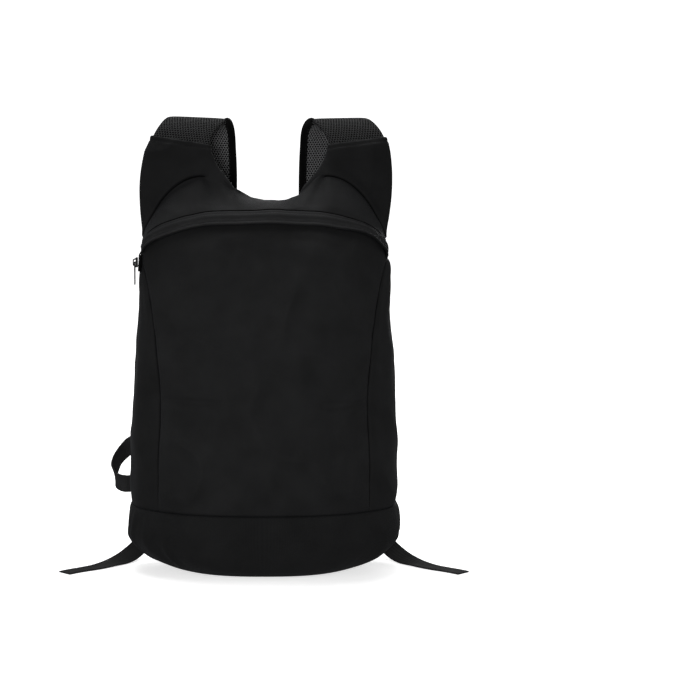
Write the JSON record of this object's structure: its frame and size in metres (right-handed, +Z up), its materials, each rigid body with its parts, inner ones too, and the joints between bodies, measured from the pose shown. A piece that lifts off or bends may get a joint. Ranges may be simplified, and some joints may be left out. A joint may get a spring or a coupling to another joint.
{
  "type": "backpack",
  "caption": "Soft zip-top sports backpack standing on its base, with an arched zip flap, padded mesh shoulder straps, a side gear loop and webbing tails.",
  "frame": {"origin": "on the floor, on the flat underside of the boot, under the middle of the pack", "axes": "+Z up, -Y towards the front panel, +X right as seen from the front"},
  "size_m": [0.4598, 0.1737, 0.5063],
  "materials": {
    "shell_cloth": "plain woven polyester, soft sheen",
    "boot_cloth": "denser coated weave",
    "strap_mesh": "spacer mesh with open hexagons",
    "black_tape": "ribbed webbing and binding tape",
    "buckle_plastic": "satin moulded",
    "zip_metal": "dark plated"
  },
  "bodies": {
    "pack": {"front_panel": "shell_cloth", "back_panel": "shell_cloth", "zip_flap": "shell_cloth", "yoke": "shell_cloth", "side_panel_left": "shell_cloth", "side_panel_right": "shell_cloth", "strap_cover_left": "shell_cloth", "strap_cover_right": "shell_cloth", "bottom_panel": "boot_cloth", "strap_pad_left": "strap_mesh", "strap_pad_right": "strap_mesh", "strap_binding_inner_left": "black_tape", "strap_binding_inner_right": "black_tape", "strap_binding_outer_left": "black_tape", "strap_binding_outer_right": "black_tape", "webbing_left": "black_tape", "webbing_right": "black_tape", "corner_tab_left": "black_tape", "corner_tab_right": "black_tape", "side_loop": "black_tape", "zip_chain": "black_tape", "buckle_left": "buckle_plastic", "buckle_right": "buckle_plastic", "zip_slider": "zip_metal"},
    "zip_pull": {"zip_pull": "zip_metal"}
  },
  "joints": [
    {"name": "zip_pull_swing", "type": "hinge", "parent": "pack", "child": "zip_pull", "pos_m": [-0.14362, -0.007, 0.347], "axis": [0, 1, 0], "range_deg": [0, 150]}
  ]
}
